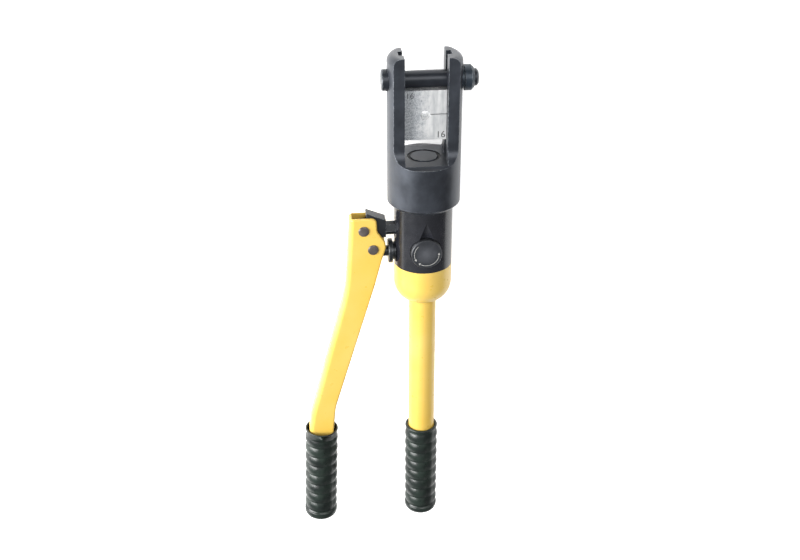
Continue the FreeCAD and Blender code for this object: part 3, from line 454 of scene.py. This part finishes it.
def rib_tree():
    """Raise rounded ribs on a sleeve about the Y axis, with two smoother lands."""
    tree, given, output = new_tree("grip_ribs", [
        ("First Rib Y", "Float"), ("Rib Pitch", "Float"),
        ("Rib Count", "Float"), ("Rib Height", "Float"), ("Skin Radius", "Float"),
        ("Land Angle", "Float"), ("Land Half Width", "Float"), ("Material", "Material")])

    def math_node(operation, *values):
        return arithmetic(tree, operation, *values)

    xyz = add(tree, "ShaderNodeSeparateXYZ", {0: add(
        tree, "GeometryNodeInputPosition").outputs[0]}).outputs
    radius = math_node("SQRT", math_node("ADD", math_node("MULTIPLY", xyz["X"], xyz["X"]),
                                         math_node("MULTIPLY", xyz["Z"], xyz["Z"])))
    turn = math_node("ARCTAN2", xyz["X"], xyz["Z"])
    along = math_node("DIVIDE", math_node("SUBTRACT", given.outputs["First Rib Y"], xyz["Y"]),
                      given.outputs["Rib Pitch"])
    # a round rib with a sharp valley: the sine of the fraction
    rise = math_node("POWER", math_node("SINE", math_node(
        "MULTIPLY", math_node("FRACT", along), math.pi)), RIB_BLUNTNESS)
    begun = math_node("GREATER_THAN", along, 0.0)
    unended = math_node("LESS_THAN", along, given.outputs["Rib Count"])
    outside = math_node("GREATER_THAN", radius, math_node(
        "MULTIPLY", given.outputs["Skin Radius"], OUTSIDE_SHARE))
    apart = math_node("PINGPONG", math_node("SUBTRACT", turn, given.outputs["Land Angle"]),
                      math.pi / 2)
    land = add(tree, "ShaderNodeMapRange", {
        "Value": apart, "From Min": given.outputs["Land Half Width"],
        "From Max": math_node("ADD", given.outputs["Land Half Width"], LAND_BLEND),
        "To Min": LAND_SHARE, "To Max": 1.0}, interpolation_type="SMOOTHSTEP").outputs["Result"]
    height = given.outputs["Rib Height"]
    for share in (rise, begun, unended, outside, land):
        height = math_node("MULTIPLY", height, share)
    outward = add(tree, "ShaderNodeCombineXYZ", {
        "X": math_node("DIVIDE", xyz["X"], radius), "Z": math_node("DIVIDE", xyz["Z"], radius)})
    step = add(tree, "ShaderNodeVectorMath", {0: outward.outputs[0], "Scale": height},
               operation="SCALE")
    moved = add(tree, "GeometryNodeSetPosition", {
        "Geometry": given.outputs["Geometry"], "Selection": outside,
        "Offset": step.outputs["Vector"]})
    end_tree(tree, output, moved.outputs[0], given.outputs["Material"])
    return tree


def pin_tree():
    """A headed pivot pin along Z on every point: shank, rim and shallow dome."""
    tree, given, output = new_tree("pivot_pins", [
        ("Shank Radius", "Float"), ("Shank Length", "Float"), ("Head Radius", "Float"),
        ("Rim Height", "Float"), ("Dome Height", "Float"), ("Material", "Material")])

    def lifted(geometry, height, scale=None):
        place = add(tree, "ShaderNodeCombineXYZ", {"Z": height}).outputs[0]
        inputs = {"Geometry": geometry, "Translation": place}
        if scale is not None:
            inputs["Scale"] = scale
        return add(tree, "GeometryNodeTransform", inputs).outputs[0]

    def rod(radius, depth):
        return add(tree, "GeometryNodeMeshCylinder", {
            "Vertices": 64, "Radius": radius, "Depth": depth}).outputs["Mesh"]

    shank = lifted(rod(given.outputs["Shank Radius"], given.outputs["Shank Length"]),
                   arithmetic(tree, "MULTIPLY", given.outputs["Shank Length"], -0.5))
    rim = lifted(rod(given.outputs["Head Radius"], given.outputs["Rim Height"]),
                 arithmetic(tree, "MULTIPLY", given.outputs["Rim Height"], 0.5))
    flatness = add(tree, "ShaderNodeCombineXYZ", {
        "X": 1.0, "Y": 1.0, "Z": arithmetic(tree, "DIVIDE", given.outputs["Dome Height"],
                                            given.outputs["Head Radius"])}).outputs[0]
    ball = add(tree, "GeometryNodeMeshUVSphere", {
        "Segments": 64, "Rings": 32, "Radius": given.outputs["Head Radius"]}).outputs["Mesh"]
    dome = lifted(ball, given.outputs["Rim Height"], flatness)
    both = add(tree, "GeometryNodeJoinGeometry")
    for part in (shank, rim, dome):
        tree.links.new(part, both.inputs[0])
    smooth = add(tree, "GeometryNodeSetShadeSmooth", {"Geometry": both.outputs[0]})
    placed = add(tree, "GeometryNodeInstanceOnPoints", {
        "Points": given.outputs["Geometry"], "Instance": smooth.outputs[0]})
    end_tree(tree, output, placed.outputs[0], given.outputs["Material"])
    return tree


# ---------------------------------------------------------------- settings

def length(description, default, **more):
    return bpy.props.FloatProperty(name=more.pop("name"), description=description,
                                   default=default, unit="LENGTH", precision=5, **more)


class CrimpingToolGrips(bpy.types.PropertyGroup):
    rib_count: bpy.props.IntProperty(
        name="Rib Count", description="Ribs along each grip", default=8, min=1, max=20)
    fixed_pitch: length("Distance between ribs on the fixed grip", 11.9 * MM,
                        name="Fixed Grip Pitch")
    moving_pitch: length("Distance between ribs on the moving grip", 12.0 * MM,
                         name="Moving Grip Pitch")
    rib_height: length("How far a rib stands above its valleys", 1.75 * MM, name="Rib Height")
    land_angle: bpy.props.FloatProperty(
        name="Land Angle", description="Where the smooth strip lies, from the front",
        default=math.radians(36), subtype="ANGLE")
    land_half_width: bpy.props.FloatProperty(
        name="Land Half Width", description="Half the angle that the smooth strip takes up",
        default=math.radians(12), subtype="ANGLE")
    lean: bpy.props.FloatProperty(
        name="Lean", description="How far the moving grip leans out at its lower end",
        default=math.radians(2.1), subtype="ANGLE")


class CrimpingToolPins(bpy.types.PropertyGroup):
    head_radius: length("Radius of the domed pin heads", 5.2 * MM, name="Head Radius")
    dome_height: length("Height of the dome above the rim", 1.35 * MM, name="Dome Height")
    rim_height: length("Straight height of the head's rim", 0.5 * MM, name="Rim Height")


class CrimpingToolMarks(bpy.types.PropertyGroup):
    number: bpy.props.StringProperty(
        name="Die Number", description="Generic size number stamped on the dies", default="16")
    number_height: length("Height of the stamped figures", 6.4 * MM, name="Number Height")
    arrow_radius: length("Radius of the arrows round the knob", 11.9 * MM,
                         name="Arrow Radius")
    stroke: length("Width of an arrow's line", 0.42 * MM, name="Stroke")


class CrimpingToolStage(bpy.types.PropertyGroup):
    paper: bpy.props.FloatVectorProperty(
        name="Paper", description="Colour of the floor", subtype="COLOR", size=4,
        default=linear("#fbfbfa"), min=0, max=1)
    side_light: bpy.props.FloatProperty(
        name="Side Light", description="Power of the large light on the left, in watts",
        default=60.0, min=0, unit="POWER")
    top_light: bpy.props.FloatProperty(
        name="Top Light", description="Power of the overhead light, in watts",
        default=13.0, min=0, unit="POWER")
    sky: bpy.props.FloatProperty(
        name="Room Light", description="Strength of the light from all round",
        default=0.36, min=0)


# ---------------------------------------------------------------- operators

class MakeFinishes(bpy.types.Operator):
    """Give every CAD part its finish"""
    bl_idname = "crimping_tool.finishes"
    bl_label = "Finishes"

    def execute(self, context):
        pin_low, pin_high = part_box("lock_pin")
        pin_centre = (0, (pin_low.y + pin_high.y) / 2, 0)
        pin_steel = blackened_steel("blackened_pin_steel", "#282c33", "#1d2026", 0.33, 0.4,
                                    "X", centre=pin_centre)
        small_steel = blackened_steel("oiled_blackened_steel", "#2e3134", "#202225", 0.33, 0.4)
        bright = plain_finish("bright_drawn_steel", "#b9bcbf", "#989ca0", 1.0, 0.28, 0.6 * MM)
        finishes = {
            blackened_steel("blackened_head_steel", "#3c4047", "#2f3238", 0.35, 0.5): (
                "fork_head", "ram"),
            blackened_steel("blued_collar_steel", "#2c3640", "#222a32", 0.36, 0.35, "X",
                            centre=pin_centre): ("pin_collar",),
            pin_steel: ("lock_pin",),
            gloss_black(): ("cylinder_body",),
            yellow_enamel(): ("handle_shoulder", "handle_tube", "handle_channel"),
            ground_steel(): ("upper_die", "lower_die"),
            small_steel: ("fulcrum_stud", "fulcrum_bracket", "gland_nut", "fulcrum_pin_clip",
                          "plunger_pin_clip", "tube_plug", "pump_plunger"),
            knob_face(): ("release_knob",),
            bright: ("release_screw", "release_ball", "return_spring",
                     "suction_check_ball", "suction_check_spring", "delivery_check_ball",
                     "delivery_check_spring", "relief_ball", "relief_spring", "bag_clip"),
            plain_finish("turned_brass", "#c9a24f", "#b48b3c", 1.0, 0.3, 0.6 * MM, "Y"): (
                "suction_check_screw", "delivery_check_screw",
                "relief_screw", "suction_tube", "suction_filter"),
            plain_finish("moulded_nitrile_seal", "#1b1c1d", "#111213", 0.0, 0.55, 0.4 * MM): (
                "ram_guide_ring", "pin_o_ring", "piston_seal", "release_o_ring",
                "plunger_seal", "oil_bag"),
            plain_finish("turned_ptfe", "#e6e4dc", "#d8d5cb", 0.0, 0.45, 0.5 * MM, "Y"): (
                "piston_backup_ring",),
        }
        for material, nodes in finishes.items():
            for name in nodes:
                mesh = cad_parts[name].data
                mesh.materials.clear()
                mesh.materials.append(material)
        return {"FINISHED"}


class MakeGrips(bpy.types.Operator):
    """Moulded rubber grips with rounded ribs and a rolled lip"""
    bl_idname = "crimping_tool.grips"
    bl_label = "Grips"

    def execute(self, context):
        wanted = context.scene.crimping_tool_grips
        rubber = grip_rubber()
        tree = rib_tree()
        nose, roll, plug = 6.0 * MM, 1.2 * MM, 9 * MM
        fillet, fillet_y = 0.9 * MM, -2.9 * MM
        rib_step, tail_step = 0.62 * MM, 1.2 * MM
        for node, body, first, pitch, skin, flare, bore, lean in (
                ("fixed_grip", "frame", 5.6 * MM, wanted.fixed_pitch, 15.3 * MM, 17.2 * MM,
                 13.9 * MM, 0.0),
                ("moving_grip", "handle", 6.2 * MM, wanted.moving_pitch, 15.4 * MM, 17.4 * MM,
                 15.4 * MM, wanted.lean)):
            # the sleeve is made upright with its mouth at the origin, then leaned into place
            low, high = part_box(node)
            lip = (high.z - low.z) / 2
            mouth = Vector((high.x - lip * math.cos(lean),
                            high.y - (lip - roll) * math.sin(lean), 0))
            end = (low.y - mouth.y + (lip - nose) * math.sin(lean)) / math.cos(lean)
            ribs_end = -first - wanted.rib_count * pitch
            profile = [(0, -plug), (bore, -plug), (bore, -roll)]
            profile += arc_points((bore + (lip - bore) / 2, -roll), (lip - bore) / 2, 180, 0, 10)
            profile += arc_points((skin + fillet, fillet_y), fillet, 50, 180, 8)[4:]
            count = int((-first - ribs_end) / rib_step)
            profile += [(skin, -first + (ribs_end + first) * i / count)
                        for i in range(count + 1)]
            collar = ribs_end - 2.4 * MM
            profile += [(skin, ribs_end - 0.6 * MM), (flare - 0.5 * MM, ribs_end - 1.6 * MM),
                        (flare, collar)]
            tail = end + nose
            steps = max(2, int((collar - tail) / tail_step))
            profile += [(flare, collar + (tail - collar) * i / steps) for i in range(1, steps)]
            profile += arc_points((flare - nose, tail), nose, 0, -90, 10)
            profile += [(0, end)]
            mesh = through_nodes(lathe(profile, 112), tree, {
                "First Rib Y": -first, "Rib Pitch": pitch,
                "Rib Count": float(wanted.rib_count), "Rib Height": wanted.rib_height,
                "Skin Radius": skin, "Land Angle": wanted.land_angle,
                "Land Half Width": wanted.land_half_width, "Material": rubber})
            mesh.transform(Matrix.Translation(mouth) @ Matrix.Rotation(-lean, 4, "Z"))
            finished(node + "_ribbed", mesh, body, rubber, (node,))
        return {"FINISHED"}


class MakeReturnSpring(bpy.types.Operator):
    """The ram's return spring, welded into one smooth coil on the frame"""
    bl_idname = "crimping_tool.return_spring"
    bl_label = "Return Spring"

    def execute(self, context):
        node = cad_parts["return_spring"]
        wire = bmesh.new()
        wire.from_mesh(node.data)
        bmesh.ops.remove_doubles(wire, verts=wire.verts, dist=0.001 * MM)
        mesh = bpy.data.meshes.new("return_spring_coil")
        wire.to_mesh(mesh)
        wire.free()
        mesh.shade_smooth()
        coil = finished("return_spring_coil", mesh, "frame", node.data.materials[0],
                        ("return_spring",))
        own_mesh(coil)
        return {"FINISHED"}


class MakePivotPins(bpy.types.Operator):
    """The two headed pins that the moving handle turns and pumps on"""
    bl_idname = "crimping_tool.pivot_pins"
    bl_label = "Pivot Pins"

    def execute(self, context):
        wanted = context.scene.crimping_tool_pins
        points = bpy.data.meshes.new("pin_places")
        boxes = [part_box(name) for name in ("fulcrum_pin", "plunger_pin")]
        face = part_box("handle_channel")[1].z
        points.from_pydata([((low.x + high.x) / 2, (low.y + high.y) / 2, face)
                            for low, high in boxes], [], [])
        clip_low, clip_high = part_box("fulcrum_pin_clip")
        clip_rim = 1.6 * MM
        shank = (clip_high.x - clip_low.x) / 2 - clip_rim
        steel = blackened_steel("blackened_pivot_steel", "#645e5b", "#443f3d", 0.34, 0.4, "Z")
        mesh = through_nodes(points, pin_tree(), {
            "Shank Radius": shank, "Shank Length": face - boxes[0][0].z,
            "Head Radius": wanted.head_radius, "Rim Height": wanted.rim_height,
            "Dome Height": wanted.dome_height, "Material": steel})
        finished("pivot_pins", mesh, "handle", steel,
                 ("fulcrum_pin", "plunger_pin"))
        return {"FINISHED"}


class MakeMarks(bpy.types.Operator):
    """Turning arrows round the release knob, and size numbers on the dies"""
    bl_idname = "crimping_tool.marks"
    bl_label = "Marks"

    def execute(self, context):
        wanted = context.scene.crimping_tool_marks
        low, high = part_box("release_knob")
        middle = (low + high) / 2
        face = high.z
        proud = 0.05 * MM
        shape = bmesh.new()

        def raised(outline):
            """A thin closed plate with this outline, sunk a little into the knob's face."""
            top = [shape.verts.new((x, y, face + proud)) for x, y in outline]
            bottom = [shape.verts.new((x, y, face - proud)) for x, y in outline]
            shape.faces.new(top)
            shape.faces.new(bottom[::-1])
            for i in range(len(top)):
                j = (i + 1) % len(top)
                shape.faces.new([top[i], bottom[i], bottom[j], top[j]])

        def at(radius, degrees):
            turn = math.radians(degrees)
            return (middle.x + radius * math.cos(turn), middle.y + radius * math.sin(turn))

        half = wanted.stroke / 2
        ring = wanted.arrow_radius
        barb, point = 1.25 * MM, 9
        for start, stop, heads in ((-122, -2, (-122, -2)), (205, 132, (205,))):
            count = 36
            turns = [start + (stop - start) * i / count for i in range(count + 1)]
            for a, b in zip(turns, turns[1:]):
                raised([at(ring - half, a), at(ring + half, a), at(ring + half, b),
                        at(ring - half, b)])
            for turn in heads:
                # the tip points on past its own end of the arc
                tip = turn + math.copysign(point, turn - (start + stop) / 2)
                raised([at(ring - barb, turn), at(ring + barb, turn), at(ring, tip)])
        bmesh.ops.recalc_face_normals(shape, faces=shape.faces)
        mesh = bpy.data.meshes.new("knob_arrows")
        shape.to_mesh(mesh)
        shape.free()
        finished("knob_arrows", mesh, "release", mark_paint("pale_mark_paint", "#c9c8c2", 0.6))
        dark = mark_paint("dark_stamp_paint", "#1c1c1e", 0.5)
        worn = mark_paint("worn_stamp_paint", "#4a4d51", 0.5)
        for node, body, right, up, share, stamp in (
                ("lower_die", "lower_die", 14.4, 4.6, 1.0, dark),
                ("upper_die", "frame", -14.6, 20.2, 0.85, worn)):
            low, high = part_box(node)
            words = bpy.data.curves.new(node + "_number", "FONT")
            words.body = wanted.number
            words.size = wanted.number_height * share * TEXT_PER_FIGURE
            words.extrude = proud
            words.align_x = "CENTER"
            words.align_y = "CENTER"
            holder = bpy.data.objects.new(words.name, words)
            bpy.context.scene.collection.objects.link(holder)
            mesh = evaluated_mesh(holder)
            mesh.transform(Matrix.Translation((right * MM, low.y + up * MM, high.z)))
            finished(node + "_number", mesh, body, stamp)
        return {"FINISHED"}


class MakeStage(bpy.types.Operator):
    """A plain pale floor, soft lights and the camera"""
    bl_idname = "crimping_tool.stage"
    bl_label = "Stage"

    def execute(self, context):
        wanted = context.scene.crimping_tool_stage
        scene = context.scene
        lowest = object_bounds()[0].z - 0.3 * MM
        half = FLOOR_HALF
        mesh = bpy.data.meshes.new("floor")
        mesh.from_pydata([(-half, -half, lowest), (half, -half, lowest), (half, half, lowest),
                          (-half, half, lowest)], [], [(0, 1, 2, 3)])
        mesh.materials.append(studio_paper(wanted.paper))
        floor = bpy.data.objects.new("floor", mesh)
        scene.collection.objects.link(floor)
        floor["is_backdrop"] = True

        for name, place, width, height, power in (
                ("left_softbox", (-1.35, 0.0, 0.5), 0.6, 1.6, wanted.side_light),
                ("overhead_softbox", (0.3, 0.75, 1.45), 1.2, 0.9, wanted.top_light),
                ("right_fill", (1.4, 0.1, 0.75), 0.35, 1.4, wanted.side_light * FILL_SHARE)):
            lamp = bpy.data.lights.new(name, "AREA")
            lamp.shape = "RECTANGLE"
            lamp.size, lamp.size_y = width, height
            lamp.energy = power
            holder = bpy.data.objects.new(name, lamp)
            holder.location = place
            towards = LIGHTS_AIM - Vector(place)
            holder.rotation_euler = towards.to_track_quat("-Z", "Y").to_euler()
            scene.collection.objects.link(holder)

        world = bpy.data.worlds.new("pale_room")
        world.use_nodes = True
        world.node_tree.nodes.clear()
        # the room is brighter on the left, where the large window of light stands
        way = add(world.node_tree, "ShaderNodeTexCoord").outputs["Generated"]
        across = add(world.node_tree, "ShaderNodeSeparateXYZ", {0: way}).outputs["X"]
        strength = arithmetic(world.node_tree, "MULTIPLY", wanted.sky, spread(
            world.node_tree, across, -0.9, 0.9, 1.7, 0.5))
        sky = add(world.node_tree, "ShaderNodeBackground", {
            "Color": linear("#f4f6f8"), "Strength": strength})
        add(world.node_tree, "ShaderNodeOutputWorld", {"Surface": sky.outputs[0]})
        scene.world = world

        lens = bpy.data.cameras.new("camera")
        lens.lens = LENS
        lens.sensor_width = SENSOR
        lens.clip_end = 50.0
        camera = bpy.data.objects.new("camera", lens)
        back = CAMERA_RIGHT.cross(CAMERA_UP).normalized()
        turned = Matrix((CAMERA_RIGHT, CAMERA_UP, back)).transposed().to_4x4()
        camera.matrix_world = Matrix.Translation(CAMERA_AIM + back * CAMERA_DISTANCE) @ turned
        scene.collection.objects.link(camera)
        scene.camera = camera
        scene.view_settings.view_transform = "Standard"
        return {"FINISHED"}


class CrimpingToolPanel(bpy.types.Panel):
    """The tool's settings and the buttons that build it"""
    bl_idname = "VIEW3D_PT_crimping_tool"
    bl_label = "Crimping Tool"
    bl_space_type = "VIEW_3D"
    bl_region_type = "UI"
    bl_category = "Crimping Tool"

    def draw(self, context):
        for operator, group in STEPS:
            box = self.layout.box()
            box.operator(operator.bl_idname)
            if group:
                settings = getattr(context.scene, group)
                for name in settings.bl_rna.properties.keys():
                    if name not in ("rna_type", "name"):
                        box.prop(settings, name)


STEPS = (
    (MakeFinishes, None),
    (MakeGrips, "crimping_tool_grips"),
    (MakeReturnSpring, None),
    (MakePivotPins, "crimping_tool_pins"),
    (MakeMarks, "crimping_tool_marks"),
    (MakeStage, "crimping_tool_stage"),
)
GROUPS = {
    "crimping_tool_grips": CrimpingToolGrips,
    "crimping_tool_pins": CrimpingToolPins,
    "crimping_tool_marks": CrimpingToolMarks,
    "crimping_tool_stage": CrimpingToolStage,
}
CLASSES = (*GROUPS.values(), *(step for step, group in STEPS), CrimpingToolPanel)


def register():
    for one in CLASSES:
        bpy.utils.register_class(one)
    for name, group in GROUPS.items():
        setattr(bpy.types.Scene, name, bpy.props.PointerProperty(type=group))


def unregister():
    for name in GROUPS:
        delattr(bpy.types.Scene, name)
    for one in reversed(CLASSES):
        bpy.utils.unregister_class(one)


def main():
    register()
    for operator, group in STEPS:
        category, name = operator.bl_idname.split(".")
        getattr(getattr(bpy.ops, category), name)()


if __name__ == "__main__":
    main()
